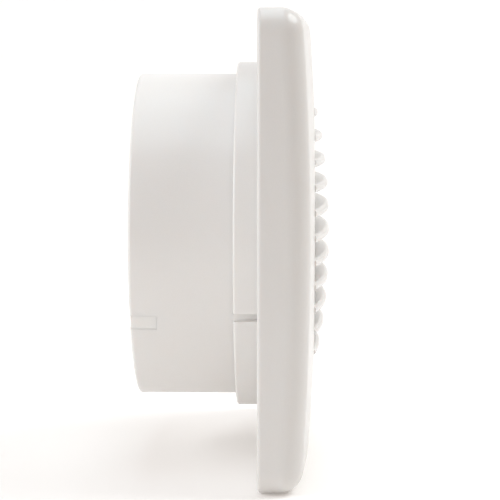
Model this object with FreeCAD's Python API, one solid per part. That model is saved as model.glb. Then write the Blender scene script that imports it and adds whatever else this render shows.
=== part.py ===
import FreeCAD, Part

# Bathroom extractor fan with an axial impeller, for a 100 mm duct through a wall.
#
# Frame: millimetres, +Z up, +Y into the wall along the fan's axis, -Y towards the room. The origin is on
# the fan's axis in the wall plane, where the back plate and the cover's rear edge meet the wall.
# Room side: a pillow-shaped square cover with a domed round grille of flat blades. Wall side: a square
# back plate, a stepped ring and the duct tube, with a shaded-pole motor in a carrier, the impeller in
# front of it, and a back-draught flap that hangs in the tube's mouth.
import math
import os

from FreeCAD import Vector

# ---- driving dimensions: the duct and the ring ----
SPIGOT_R = 49.25           # outside radius, a slide fit in 100 mm ducting
SPIGOT_END = 37.1          # Y of the spigot's mouth
WALL = 2.0                 # moulded wall of the ring, the duct and the cover
RING_R = 52.85             # step ring behind the back plate
RING_IN_R = RING_R - WALL
RING_DEPTH = 7.2
RING_ROUND = 0.7
SPIGOT_START = RING_DEPTH + 0.1  # the full radius begins just clear of the ring
TUBE_IN_R = SPIGOT_R - WALL
THROAT_R = 48.55           # outside of the tube where it passes through the ring
THROAT_FIT = 0.05          # gap between the throat and the ring's step
COLLAR_FRONT = -9.0        # Y of the throat's room end, in front of the back plate
RIM_ROUND = 0.8            # rounding of the spigot's mouth
COLLAR_ROUND = 0.5
FLANGE_R = RING_IN_R - 0.2 # flange that is welded behind the ring's step
FLANGE_THICK = 1.5
KEY_ANGLE = -26.5          # shutter keys in the spigot's mouth, degrees below the horizontal
KEY_LENGTH = 7.7
KEY_WIDTH = 4.4
KEY_GAP = 0.04             # clearance of a key in its window
GROOVE_ANGLE = -22.0       # sloping grooves across the step ring
GROOVE_HEIGHT = 2.6
GROOVE_DEEP = 1.5          # at the plate, and
GROOVE_SHALLOW = 0.35      # at the ring's rear face
LEDGE_R = 43.2             # ledges inside the tube that carry the carrier's feet
LEDGE_WIDTH = 8.0
LEDGE_FRONT = 12.0
LEDGE_BACK = 20.0
POCKET_R = 52.0            # the leads' pocket in the step ring reaches out to here
POCKET_WIDTH = 5.2
WINDOW_R = 44.5            # the leads' window through the throat starts inside it, at this radius
WINDOW_FRONT = 1.2

# ---- the cover ----
COVER_HALF = 67.5          # half the side of the square cover
COVER_CORNER = 7.2         # corner radius seen from the front
COVER_DEPTH = 17.0         # wall plane to the top of the pillow
PILLOW_R = 880.0           # radius of the pillow's dome
EDGE_ROUND = 6.5           # rounding of the cover's front edge
REAR_ROUND = 1.0
GRILLE_R = 40.0
LIP_WALL = 1.8             # lip round the grille's opening
DOME_TOP = 20.8            # wall plane to the top of the grille's dome
DOME_FALL = 3.55           # fall of the dome at DOME_FALL_R from the axis
DOME_FALL_R = 37.5
DOME_POWER = 2.3
BLADES = 11                # flat grille blades
BLADE_PITCH = 7.1
BLADE_LIFT = 2.1           # the middle blade stands this far above the axis
BLADE_THICK = 2.5
BLADE_BACK = -12.4         # Y of the blades' inner edges
BLADE_ROOT = 0.6           # the blades and ribs run this far into the lip
RIB_X = 14.0               # two upright ribs tie the blades together from behind
RIB_THICK = 1.8
RIB_DEPTH = 3.0
COVER_SCREW_Z = -57.0
COVER_SCREW_Y = -14.2      # top of its head, sunk in the post
COVER_SCREW_HEAD_R = 2.8
COVER_SCREW_HEAD_H = 1.6
COVER_SCREW_R = 1.3
COVER_SCREW_TIP = -3.5
POST_R = 3.9               # the cover's screw post
POST_FRONT = -14.4
POST_BACK = -11.2
RECESS_R = 3.1             # recess for the screw's head
TONGUE_X = 30.0            # tongues that hook the cover's upper edge into the back plate
TONGUE_Z = 61.0
TONGUE_WIDTH = 8.0
TONGUE_THICK = 1.6
TONGUE_FRONT = -14.0
TONGUE_BACK = -0.6
TONGUE_FIT = 0.4           # gap round each tongue in its window

# ---- the back plate ----
PLATE_HALF = 65.4
PLATE_CORNER = 5.0
RIM_WALL = 1.8
RIM_LIFT = 2.2             # the rim stands this far above the plate
BOSS_R = 3.4
BOSS_FRONT = -11.0
WALL_SCREW_X = 57.0        # fixing holes, from the axis
WALL_SCREW_Z = 30.0
WALL_SCREW_R = 2.3
PAD_R = 4.6                # pads round the fixing holes
PAD_FRONT = -3.4
CABLE_X = 14.5             # cable entry
CABLE_Z = -57.4
CABLE_R = 4.5
GROMMET_FLANGE = 1.3
GROMMET_BORE_R = 3.1
CLAMP_X = 27.0
CLAMP_Z = -57.4
CLAMP_SCREW_GAP = 4.7      # from the clamp's middle to each screw
CLAMP_POST_R = 2.4
CLAMP_FRONT = -7.4
CLAMP_BACK = -5.0
CLAMP_WIDTH = 5.2
CLAMP_REACH = 7.0
SADDLE_R = 3.2
TERMINAL_X = 48.0          # centre of the terminal block
TERMINAL_Z = -50.5
TERMINAL_PITCH = 8.6
TERMINAL_HALF_X = 12.4
TERMINAL_HALF_Z = 7.5
TERMINAL_TOP = -11.0       # Y of its barrels' ends, towards the cover
TERMINAL_STEP = -9.4       # Y of the raised ways
TERMINAL_BASE = -6.8       # Y of the block between the ways
WIRE_Y = -6.6              # the wires lie in tubes centred at this Y
TERMINAL_SCREW_Z = 4.4     # from the block's middle to each row of screws

# ---- the motor ----
POD_R = 28.8               # motor pod, outside
POD_IN_R = 27.0
POD_FRONT = 4.8
POD_BACK = 30.0
POD_FLOOR = 28.4
POD_ROUND = 1.4
ARM_ANGLES = (45.0, 135.0, 225.0, 315.0)
ARM_WIDTH = 5.0
FOOT_WIDTH = 7.0
FOOT_FRONT = 8.2
FOOT_SCREW_R = 45.1        # distance of the feet's screws from the axis
STACK_FRONT = 10.0         # stator and rotor laminations
STACK_BACK = 22.0
STATOR_R = 26.6
STATOR_IN_R = 22.0
STATOR_BORE = 12.6
SHOE_R = 15.4              # outer radius of the pole shoes
POLE_ANGLES = (0.0, 90.0, 180.0, 270.0)
POLE_WIDTH = 8.0
POLE_GAP = 4.0             # between neighbouring shoes
COIL_R0 = 16.2             # the windings run from here to COIL_R1 along a pole
COIL_R1 = 20.0
FLANGE = 0.6               # flanges of the bobbins
SHADE_R = 12.9             # inner radius of the shading rings
ROTOR_R = 12.2
SHAFT_R = 1.5
SHAFT_END = POD_FLOOR - 0.2
BUSH_R = 4.4
BUSH_GAP = 0.04            # running clearance of the shaft
FRONT_BUSH = (3.4, 7.4)
REAR_BUSH = (24.4, 28.2)
BRIDGE_FRONT = 3.2         # Y of the front bearing bridge
BRIDGE_THICK = 2.0
BRIDGE_HALF = 25.6
BRIDGE_LEG = 4.2
BRIDGE_WIDTH = 8.0
BUSH_BOSS_R = 6.2
MOTOR_SCREW_R = 23.8       # distance of the motor's long screws from the axis
MOTOR_SCREW_ANGLES = (0.0, 180.0)
LEAD_R = 0.7

# ---- the impeller ----
IMPELLER_R = 46.1
IMPELLER_BLADES = 7
IMPELLER_FRONT = -10.8
IMPELLER_BACK = 1.0
HUB_R = 26.0
HUB_WALL = 1.8
HUB_ROUND = 3.2
HUB_RIBS = 6
HUB_BOSS_R = 4.2
BLADE_ROOT_PITCH = 38.0    # degrees to the plane of the disc, at the hub
BLADE_TIP_PITCH = 24.0
CLIP_R = 4.2
CLIP_TEETH = 6

# ---- the back-draught shutter ----
FLAP_HINGE_Y = 33.2        # the flap hangs from this axis, along X
FLAP_HINGE_Z = 38.0
FLAP_THICK = 0.9
FLAP_R = 43.9
FLAP_SHOULDER = 33.0       # Z of the flap's top beside the ears
FLAP_RIB_HALF = 34.0
FLAP_RIB_Z = (12.0, -12.0)
BARREL_R = 1.1
EAR_X = 17.5               # inner faces of the ears that carry the flap
EAR_THICK = 2.0
EAR_GAP = 0.4
PIN_R = 0.8
PIN_HOLE_R = 0.88
FRAME_OUT_R = 47.15
FRAME_IN_R = 45.9
SEAT_R = 42.6              # opening of the seat that the flap closes against
SEAT_THICK = 1.5
FRAME_FRONT = 31.4
FRAME_BACK = 36.5

FAR = 80.0                 # past every face of the fan, for cutting tools
ALONG_X = Vector(1, 0, 0)
ALONG_Y = Vector(0, 1, 0)
ALONG_Z = Vector(0, 0, 1)
AXIS_POINT = Vector(0, 0, 0)
nodes = {}


# ---- small helpers ----
def rod(radius, y0, y1, x=0.0, z=0.0):
    """A cylinder along Y."""
    return Part.makeCylinder(radius, y1 - y0, Vector(x, y0, z), ALONG_Y)


def tube(outer, inner, y0, y1, x=0.0, z=0.0):
    """A pipe along Y."""
    return rod(outer, y0, y1, x, z).cut(rod(inner, y0 - 1, y1 + 1, x, z))


def block(x0, x1, y0, y1, z0, z1):
    """A box between two corners."""
    return Part.makeBox(x1 - x0, y1 - y0, z1 - z0, Vector(x0, y0, z0))


def turned(shape, degrees):
    """A copy turned about the fan's axis, from +X towards +Z."""
    copy = shape.copy()
    copy.rotate(AXIS_POINT, ALONG_Y, -degrees)
    return copy


def spoke(r0, r1, width, y0, y1, degrees):
    """A radial bar from radius r0 to r1, centred on the given angle."""
    return turned(block(r0, r1, y0, y1, -width / 2, width / 2), degrees)


def at_angle(radius, degrees):
    """X and Z of a point at a radius and an angle above +X."""
    return radius * math.cos(math.radians(degrees)), radius * math.sin(math.radians(degrees))


def both_sides(degrees):
    """An angle and its mirror image on the other side of the fan."""
    return degrees, 180 - degrees


def drilled(solid, radius, y0, y1, places):
    """The solid with a hole along Y at each place, an (X, Z) pair."""
    for x, z in places:
        solid = solid.cut(rod(radius, y0, y1, x, z))
    return solid


def rim_edges(shape, y, shortest):
    """Round edges in the plane at y that are longer than the given length."""
    return [e for e in shape.Edges if abs(e.CenterOfMass.y - y) < 1e-6 and e.Length > shortest]


def rounded_slab(half, corner, y0, y1):
    """A square plate with rounded corners, centred on the axis."""
    slab = block(-half, half, y0, y1, -half, half)
    uprights = [e for e in slab.Edges if abs(e.Vertexes[0].Y - e.Vertexes[1].Y) > 0.5 * (y1 - y0)]
    return slab.makeFillet(corner, uprights)


def screw(x, z, head_y, head_r, head_h, shank_r, tip_y):
    """A pan-head screw along Y whose head faces the room, with a cross recess."""
    head = rod(head_r, head_y, head_y + head_h, x, z)
    head = head.makeFillet(0.35 * head_h, rim_edges(head, head_y, head_r))
    body = head.fuse(rod(shank_r, head_y + head_h, tip_y, x, z))
    arm, thin, deep = 0.62 * head_r, 0.14 * head_r, 0.5 * head_h
    for a, b in ((arm, thin), (thin, arm)):
        body = body.cut(block(x - a, x + a, head_y - 1, head_y + deep, z - b, z + b))
    return body


def route(points, radius):
    """A round wire through hand-placed points, with tangent arcs as large as the runs allow."""
    corners = [Vector(*p) for p in points]
    edges, here, radii = [], corners[0], []
    for before, corner, after in zip(corners, corners[1:], corners[2:]):
        arrive, leave = corner - before, after - corner
        turn = arrive.getAngle(leave)
        reach = 0.45 * min(arrive.Length, leave.Length)
        radii.append(reach / math.tan(turn / 2))
        start = corner - arrive.normalize() * reach
        end = corner + leave.normalize() * reach
        middle = corner + (leave - arrive).normalize() * radii[-1] * (1 / math.cos(turn / 2) - 1)
        edges += [Part.LineSegment(here, start).toShape(), Part.Arc(start, middle, end).toShape()]
        here = end
    edges.append(Part.LineSegment(here, corners[-1]).toShape())
    path = Part.Wire(edges)
    section = Part.Wire(Part.makeCircle(radius, corners[0], corners[1] - corners[0]))
    solid = path.makePipeShell([section], True, False)
    expected = math.pi * radius ** 2 * path.Length
    print("lead: length %.1f, smallest radius %.2f, volume over section times length %.4f"
          % (path.Length, min(radii), solid.Volume / expected))
    return solid


# ---- places of the screws ----
def wall_screw_places():
    """X and Z of the four fixing holes."""
    return [(x, z) for x in (-WALL_SCREW_X, WALL_SCREW_X) for z in (-WALL_SCREW_Z, WALL_SCREW_Z)]


def clamp_screw_places():
    """X and Z of the cable clamp's two screws."""
    return [(CLAMP_X, CLAMP_Z + side * CLAMP_SCREW_GAP) for side in (-1, 1)]


def foot_screw_places():
    """X and Z of the screws in the motor carrier's feet."""
    return [at_angle(FOOT_SCREW_R, a) for a in ARM_ANGLES]


def motor_screw_places():
    """X and Z of the long screws through the motor."""
    return [at_angle(MOTOR_SCREW_R, a) for a in MOTOR_SCREW_ANGLES]


def terminal_ways():
    """X of each way of the terminal block."""
    return [TERMINAL_X + (i - 1) * TERMINAL_PITCH for i in range(3)]


def terminal_screw_places():
    """X and Z of the six wire screws."""
    return [(x, TERMINAL_Z + side * TERMINAL_SCREW_Z) for x in terminal_ways() for side in (-1, 1)]


# ---- room side: the cover ----
def pillow_height(r):
    """Height of the pillow over the wall plane: a dome of radius PILLOW_R."""
    return COVER_DEPTH - (PILLOW_R - math.sqrt(PILLOW_R ** 2 - r ** 2))


def dome_height(r):
    """Height of the grille's dome over the wall plane: flat in the middle and steeper towards its rim."""
    return DOME_TOP - DOME_FALL * (r / DOME_FALL_R) ** DOME_POWER


def pillow_solid(inset):
    """The cover's outer shape, or the inner one when inset is the wall's thickness."""
    half, depth = COVER_HALF - inset, COVER_DEPTH - inset
    slab = rounded_slab(half, COVER_CORNER - inset, -depth - 1, 0)
    centre = Vector(0, PILLOW_R - inset - depth, 0)
    solid = slab.common(Part.makeSphere(PILLOW_R - inset, centre))
    front = []
    for edge in solid.Edges:
        box = edge.BoundBox
        faces_room = box.YMax < -1.0 and box.YMin < -6.0
        if faces_room and box.YLength < 8.0 and max(box.XLength, box.ZLength) > 1.0:
            front.append(edge)
    return solid.makeFillet(EDGE_ROUND - inset, front)


def blade_heights():
    """Z of each grille blade, counted from the bottom."""
    return [BLADE_LIFT + (k - (BLADES - 1) / 2) * BLADE_PITCH for k in range(BLADES)]


def grille_dome(radius):
    """A solid turned about the axis: the domed front face above, the blades' flat back below."""
    steps = 8
    crown = [Vector(radius * i / steps, -dome_height(radius * i / steps), 0) for i in range(steps + 1)]
    curve = Part.BSplineCurve()
    curve.interpolate(crown)
    corners = [crown[-1], Vector(radius, BLADE_BACK, 0), Vector(0, BLADE_BACK, 0), crown[0]]
    sides = [Part.LineSegment(a, b).toShape() for a, b in zip(corners, corners[1:])]
    face = Part.Face(Part.Wire([curve.toShape()] + sides))
    return face.revolve(AXIS_POINT, ALONG_Y, 360)


def grille_blades():
    """Flat horizontal blades across the opening, their rounded noses on the dome."""
    dome = grille_dome(GRILLE_R + BLADE_ROOT)
    blades = []
    for z in blade_heights():
        slab = block(-FAR, FAR, -FAR, 0, z - BLADE_THICK / 2, z + BLADE_THICK / 2)
        blade = dome.common(slab)
        nose = [e for e in blade.Edges if e.BoundBox.XLength > 10 and e.BoundBox.YMax < BLADE_BACK - 0.5]
        blades.append(blade.makeFillet(0.45 * BLADE_THICK, nose))
    return blades


def cover_ribs():
    """Upright ribs behind the blades."""
    zone = rod(GRILLE_R + BLADE_ROOT, -FAR, 0)
    ribs = []
    for x in (-RIB_X, RIB_X):
        x0, x1 = x - RIB_THICK / 2, x + RIB_THICK / 2
        rib = block(x0, x1, BLADE_BACK - RIB_DEPTH, BLADE_BACK, -GRILLE_R, GRILLE_R)
        ribs.append(rib.common(zone))
    return ribs


def cover_tongues():
    """Tongues inside the upper edge that reach through the back plate's windows."""
    zone = pillow_solid(0.3 * WALL)
    tongues = []
    for x in (-TONGUE_X, TONGUE_X):
        tongue = block(x - TONGUE_WIDTH / 2, x + TONGUE_WIDTH / 2, TONGUE_FRONT, TONGUE_BACK,
                       TONGUE_Z - TONGUE_THICK / 2, TONGUE_Z + TONGUE_THICK / 2)
        tongues.append(tongue.common(zone))
    return tongues


def make_front_cover():
    """One moulding: the hollow pillow, its round opening, blades, stiffening ribs, screw post and tongues."""
    shell = pillow_solid(0)
    rear = [e for e in shell.Edges if e.BoundBox.YMin > -0.01]
    shell = shell.makeFillet(REAR_ROUND, rear).cut(pillow_solid(WALL))
    shell = shell.cut(rod(GRILLE_R, -FAR, 1))
    lip = tube(GRILLE_R + LIP_WALL, GRILLE_R, -pillow_height(GRILLE_R) + 1.2, BLADE_BACK)
    post = rod(POST_R, POST_FRONT, POST_BACK, 0, COVER_SCREW_Z)
    solid = shell.multiFuse([lip, post] + cover_ribs() + grille_blades() + cover_tongues())
    solid = solid.cut(rod(RECESS_R, -FAR, COVER_SCREW_Y + COVER_SCREW_HEAD_H, 0, COVER_SCREW_Z))
    return solid.cut(rod(COVER_SCREW_R + 0.15, -FAR, 0, 0, COVER_SCREW_Z))


def make_cover_screw():
    """Captive screw that holds the cover's lower edge to its boss."""
    return screw(0, COVER_SCREW_Z, COVER_SCREW_Y, COVER_SCREW_HEAD_R, COVER_SCREW_HEAD_H, COVER_SCREW_R,
                 COVER_SCREW_TIP)


# ---- wall side: the plate, the ring and the duct ----
def make_back_plate():
    """The square plate with its rim, pads, boss and posts, open in the middle for the step ring."""
    plate = rounded_slab(PLATE_HALF, PLATE_CORNER, -WALL, 0)
    rim = plate.cut(rounded_slab(PLATE_HALF - RIM_WALL, PLATE_CORNER - RIM_WALL, -WALL - 1, 1))
    rim.translate(Vector(0, -RIM_LIFT, 0))
    boss = rod(BOSS_R, BOSS_FRONT, -1, 0, COVER_SCREW_Z)
    pads = [rod(PAD_R, PAD_FRONT, -1, x, z) for x, z in wall_screw_places()]
    clamp_posts = [rod(CLAMP_POST_R, CLAMP_BACK, -1, x, z) for x, z in clamp_screw_places()]
    body = plate.cut(rod(RING_R, -FAR, FAR)).multiFuse([rim, boss] + pads + clamp_posts)
    body = drilled(body, COVER_SCREW_R, -FAR, COVER_SCREW_TIP + 0.5, [(0, COVER_SCREW_Z)])
    body = drilled(body, CABLE_R, -FAR, FAR, [(CABLE_X, CABLE_Z)])
    body = drilled(body, 1.05, -FAR, 0.5, [(TERMINAL_X - TERMINAL_PITCH / 2, TERMINAL_Z)])
    body = drilled(body, WALL_SCREW_R, -FAR, FAR, wall_screw_places())
    body = drilled(body, 0.95, -FAR, 0.5, clamp_screw_places())
    for x in (-TONGUE_X, TONGUE_X):
        x0, x1 = x - TONGUE_WIDTH / 2 - TONGUE_FIT, x + TONGUE_WIDTH / 2 + TONGUE_FIT
        z0, z1 = TONGUE_Z - TONGUE_THICK / 2 - TONGUE_FIT, TONGUE_Z + TONGUE_THICK / 2 + TONGUE_FIT
        body = body.cut(block(x0, x1, -FAR, FAR, z0, z1))
    return body.removeSplitter()


def ring_groove():
    """A wedge for cutting a groove in the ring, deepest at the plate, drawn at +X."""
    past_r, past_y = RING_R + 2, RING_DEPTH + 1
    outline = [Vector(RING_R - GROOVE_DEEP, 0, 0), Vector(past_r, 0, 0), Vector(past_r, past_y, 0),
               Vector(RING_R - GROOVE_SHALLOW, past_y, 0)]
    wedge = Part.Face(Part.makePolygon(outline + outline[:1])).extrude(ALONG_Z * GROOVE_HEIGHT)
    wedge.translate(ALONG_Z * (-GROOVE_HEIGHT / 2))
    return wedge


def make_step_ring():
    """Ring that centres the fan in its hole: a short tube pressed in the plate, with an inward step."""
    ring = tube(RING_R, RING_IN_R, -WALL, RING_DEPTH)
    ring = ring.fuse(tube(RING_R, THROAT_R + THROAT_FIT, RING_DEPTH - WALL, RING_DEPTH)).removeSplitter()
    ring = ring.makeFillet(RING_ROUND, rim_edges(ring, RING_DEPTH, 2 * math.pi * (RING_R - 1)))
    for a in both_sides(GROOVE_ANGLE):
        ring = ring.cut(turned(ring_groove(), a))
    pocket = spoke(THROAT_R, POCKET_R, POCKET_WIDTH, -WALL - 1, RING_DEPTH - WALL, ARM_ANGLES[3])
    return ring.cut(pocket).removeSplitter()


def make_duct_tube():
    """The throat the impeller turns in and the spigot, one tube welded by its flange to the step ring."""
    throat = tube(THROAT_R, TUBE_IN_R, COLLAR_FRONT, SPIGOT_START)
    throat = throat.makeFillet(COLLAR_ROUND, rim_edges(throat, COLLAR_FRONT, TUBE_IN_R))
    spigot = tube(SPIGOT_R, TUBE_IN_R, SPIGOT_START, SPIGOT_END)
    spigot = spigot.makeFillet(RIM_ROUND, rim_edges(spigot, SPIGOT_END, 2 * math.pi * (SPIGOT_R - 1)))
    flange_back = RING_DEPTH - WALL
    flange = tube(FLANGE_R, THROAT_R - 0.5, flange_back - FLANGE_THICK, flange_back)
    ledges = [spoke(LEDGE_R, TUBE_IN_R + 0.6, LEDGE_WIDTH, LEDGE_FRONT, LEDGE_BACK, a) for a in ARM_ANGLES]
    duct = spigot.multiFuse([throat, flange] + ledges)
    duct = drilled(duct, 1.05, LEDGE_FRONT - 1, LEDGE_BACK - 1.5, foot_screw_places())
    for a in both_sides(KEY_ANGLE):
        duct = duct.cut(spoke(TUBE_IN_R - 1, FAR, KEY_WIDTH, SPIGOT_END - KEY_LENGTH, FAR, a))
    window = spoke(WINDOW_R, POCKET_R, POCKET_WIDTH, WINDOW_FRONT, flange_back, ARM_ANGLES[3])
    return duct.cut(window).removeSplitter()


def make_cable_grommet():
    """Rubber grommet in the cable entry, with a groove that holds the plate."""
    ring = tube(CABLE_R + GROMMET_FLANGE, GROMMET_BORE_R, -WALL - GROMMET_FLANGE, 0.0, CABLE_X, CABLE_Z)
    groove = tube(CABLE_R + 3, CABLE_R, -WALL, 1.0, CABLE_X, CABLE_Z)
    return ring.cut(groove)


def make_cable_clamp():
    """Saddle that grips the supply cable beside its entry."""
    x0, x1 = CLAMP_X - CLAMP_WIDTH / 2, CLAMP_X + CLAMP_WIDTH / 2
    bar = block(x0, x1, CLAMP_FRONT, CLAMP_BACK, CLAMP_Z - CLAMP_REACH, CLAMP_Z + CLAMP_REACH)
    bar = bar.makeFillet(1.2, [e for e in bar.Edges if e.BoundBox.YLength > 2])
    saddle = Part.makeCylinder(SADDLE_R, CLAMP_WIDTH, Vector(x0, CLAMP_BACK + 0.4, CLAMP_Z), ALONG_X)
    past_end = Vector(x0 - CLAMP_WIDTH, CLAMP_BACK + 1.1, CLAMP_Z)
    channel = Part.makeCylinder(SADDLE_R - 1, 3 * CLAMP_WIDTH, past_end, ALONG_X)
    above_plate = block(0, FAR, -FAR, CLAMP_BACK, -FAR, 0)
    solid = bar.fuse(saddle.common(above_plate)).cut(channel)
    return drilled(solid, 1.25, -FAR, 0, clamp_screw_places())


def make_clamp_screws():
    """Two screws through the clamp into its posts."""
    return Part.makeCompound([screw(x, z, CLAMP_FRONT - 1.6, 2.1, 1.6, 0.95, -0.8)
                              for x, z in clamp_screw_places()])


# ---- terminal block ----
def make_terminal_block():
    """Three-way nylon block: a raised barrel over each screw, a bore for each clamp."""
    z0, z1 = TERMINAL_Z - TERMINAL_HALF_Z, TERMINAL_Z + TERMINAL_HALF_Z
    body = block(TERMINAL_X - TERMINAL_HALF_X, TERMINAL_X + TERMINAL_HALF_X, TERMINAL_BASE, -WALL, z0, z1)
    ways = [block(x - 3.1, x + 3.1, TERMINAL_STEP, TERMINAL_BASE, z0, z1) for x in terminal_ways()]
    barrels = [rod(3.1, TERMINAL_TOP, TERMINAL_STEP, x, z) for x, z in terminal_screw_places()]
    body = body.multiFuse(ways + barrels)
    for x in terminal_ways():
        body = body.cut(Part.makeCylinder(2.3, z1 - z0 + 2, Vector(x, WIRE_Y, z0 - 1), ALONG_Z))
    body = drilled(body, 1.7, -FAR, WIRE_Y, terminal_screw_places())
    fixing = [(TERMINAL_X - TERMINAL_PITCH / 2, TERMINAL_Z)]
    body = drilled(drilled(body, 1.3, -FAR, 0, fixing), 1.75, -FAR, TERMINAL_BASE, fixing)
    return body.removeSplitter()


def make_terminal_clamps():
    """Brass tubes inside the block, one for each way."""
    clamps = []
    for x in terminal_ways():
        outer = Part.makeCylinder(2.3, 12.4, Vector(x, WIRE_Y, TERMINAL_Z - 6.2), ALONG_Z)
        bore = Part.makeCylinder(1.4, 14, Vector(x, WIRE_Y, TERMINAL_Z - 7), ALONG_Z)
        own_screws = [(sx, z) for sx, z in terminal_screw_places() if sx == x]
        clamps.append(drilled(outer.cut(bore), 1.3, -FAR, WIRE_Y, own_screws))
    return Part.makeCompound(clamps)


def make_terminal_screws():
    """Six slotted wire screws, down in their barrels."""
    made = []
    for x, z in terminal_screw_places():
        slot = block(x - 2, x + 2, TERMINAL_TOP, -9.4, z - 0.25, z + 0.25)
        made.append(rod(1.25, -10.0, -7.4, x, z).cut(slot))
    return Part.makeCompound(made)


def make_terminal_fixing():
    """Screw that holds the block to the back plate, between two ways."""
    return screw(TERMINAL_X - TERMINAL_PITCH / 2, TERMINAL_Z, TERMINAL_BASE - 1.4, 1.6, 1.4, 1.0, -0.8)


# ---- motor ----
def make_motor_carrier():
    """A cup for the motor on four arms whose feet sit on the duct's ledges."""
    cup = rod(POD_R, POD_FRONT, POD_BACK).cut(rod(POD_IN_R, POD_FRONT - 1, POD_FLOOR))
    cup = cup.makeFillet(POD_ROUND, rim_edges(cup, POD_BACK, POD_R))
    arms = [spoke(POD_R - 0.9, 42.0, ARM_WIDTH, POD_FRONT, LEDGE_FRONT, a) for a in ARM_ANGLES]
    feet = [spoke(41.5, 47.1, FOOT_WIDTH, FOOT_FRONT, LEDGE_FRONT, a) for a in ARM_ANGLES]
    solid = cup.multiFuse(arms + feet)
    solid = drilled(solid, 1.4, 0, LEDGE_FRONT + 1, foot_screw_places())
    solid = drilled(solid, 1.25, POD_FLOOR - 1, POD_BACK + 1, motor_screw_places())
    return drilled(solid, 5.0, POD_FLOOR - 1, POD_BACK + 1, [(0, 0)]).removeSplitter()


def make_carrier_screws():
    """Four screws through the carrier's feet into the ledges."""
    return Part.makeCompound([screw(x, z, FOOT_FRONT - 1.4, 1.95, 1.4, 1.05, 17.5)
                              for x, z in foot_screw_places()])


def make_stator_core():
    """Stack of steel laminations: an outer ring with four poles whose shoes surround the rotor."""
    shoes = tube(SHOE_R, STATOR_BORE, STACK_FRONT, STACK_BACK)
    for a in ARM_ANGLES:
        shoes = shoes.cut(spoke(STATOR_BORE - 2, SHOE_R + 2, POLE_GAP, -FAR, FAR, a))
    necks = [spoke(SHOE_R - 0.8, STATOR_IN_R + 1, POLE_WIDTH, STACK_FRONT, STACK_BACK, a) for a in POLE_ANGLES]
    core = tube(STATOR_R, STATOR_IN_R, STACK_FRONT, STACK_BACK).multiFuse([shoes] + necks)
    core = drilled(core.cut(rod(STATOR_BORE, -FAR, FAR)), 1.3, -FAR, FAR, motor_screw_places())
    for a in POLE_ANGLES:
        core = core.cut(turned(block(12, 15.0, -FAR, FAR, 4.6, 5.8), a))
    return core.removeSplitter()


def pole_sleeve(half_width, overhang, r0, r1, inner_half, inner_overhang):
    """A rectangular sleeve round a pole's neck, drawn on the pole at +X."""
    outer = block(r0, r1, STACK_FRONT - overhang, STACK_BACK + overhang, -half_width, half_width)
    inner_front, inner_back = STACK_FRONT - inner_overhang, STACK_BACK + inner_overhang
    inner = block(r0 - 1, r1 + 1, inner_front, inner_back, -inner_half, inner_half)
    return outer.cut(inner)


def on_each_pole(shape):
    """Copies of a shape on the four poles."""
    return Part.makeCompound([turned(shape, a) for a in POLE_ANGLES])


def make_coil_bobbins():
    """Nylon bobbins between the poles and the windings."""
    neck = POLE_WIDTH / 2
    sleeve = pole_sleeve(neck + 0.7, 0.7, COIL_R0 - FLANGE, COIL_R1 + FLANGE, neck, 0.0)
    inner_flange = pole_sleeve(6.6, 2.9, COIL_R0 - FLANGE, COIL_R0, neck, 0.0)
    outer_flange = pole_sleeve(7.0, 2.9, COIL_R1, COIL_R1 + FLANGE, neck, 0.0)
    return on_each_pole(sleeve.multiFuse([inner_flange, outer_flange]).removeSplitter())


def make_coil_windings():
    """Copper windings on the bobbins, rounded at their corners."""
    coil = pole_sleeve(6.4, 2.5, COIL_R0, COIL_R1, POLE_WIDTH / 2 + 0.7, 0.7)
    corners = [e for e in coil.Edges if e.BoundBox.XLength > 3 and abs(e.CenterOfMass.z) > 6]
    return on_each_pole(coil.makeFillet(1.4, corners))


def make_shading_rings():
    """Closed copper rings round one side of each pole's shoe."""
    ring = block(SHADE_R, 14.6, STACK_FRONT - 1.0, STACK_BACK + 1.0, 4.7, 8.7)
    ring = ring.cut(block(12, 16, STACK_FRONT - 0.02, STACK_BACK + 0.02, 5.7, 12))
    return on_each_pole(ring.common(tube(15.3, SHADE_R, 0, 40)))


def end_bridge(stack_y, outer_y):
    """Die-cast bridge with two legs, from one face of the stack to its own outer face."""
    inward = BRIDGE_THICK if stack_y > outer_y else -BRIDGE_THICK
    low, high = sorted((outer_y, outer_y + inward))
    bar = block(-BRIDGE_HALF, BRIDGE_HALF, low, high, -BRIDGE_WIDTH / 2, BRIDGE_WIDTH / 2)
    leg_low, leg_high = sorted((stack_y, outer_y))
    leg = block(BRIDGE_HALF - BRIDGE_LEG, BRIDGE_HALF, leg_low, leg_high, -BRIDGE_WIDTH / 2, BRIDGE_WIDTH / 2)
    return bar.multiFuse([turned(leg, a) for a in MOTOR_SCREW_ANGLES])


def make_front_bracket():
    """Room-side bearing bridge."""
    solid = end_bridge(STACK_FRONT, BRIDGE_FRONT).fuse(rod(BUSH_BOSS_R, BRIDGE_FRONT, FRONT_BUSH[1]))
    solid = solid.cut(rod(BUSH_R, 2, 9))
    return drilled(solid, 1.3, 0, 40, motor_screw_places()).removeSplitter()


def make_rear_bracket():
    """Wall-side bearing bridge, against the floor of the carrier."""
    solid = end_bridge(STACK_BACK, POD_FLOOR).fuse(rod(BUSH_BOSS_R, REAR_BUSH[0], POD_FLOOR))
    solid = solid.cut(rod(BUSH_R, REAR_BUSH[0] - 0.4, POD_FLOOR + 1))
    return drilled(solid, 1.15, 20, 40, motor_screw_places()).removeSplitter()


def make_bush(y0, y1):
    """Oil-filled bronze bush that the shaft runs in."""
    return tube(BUSH_R, SHAFT_R + BUSH_GAP, y0, y1)


def make_motor_screws():
    """Two long screws that clamp both bridges and the stack, and end in the carrier's floor."""
    return Part.makeCompound([screw(x, z, BRIDGE_FRONT - 1.4, 2.3, 1.4, 1.15, 29.6)
                              for x, z in motor_screw_places()])


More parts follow.
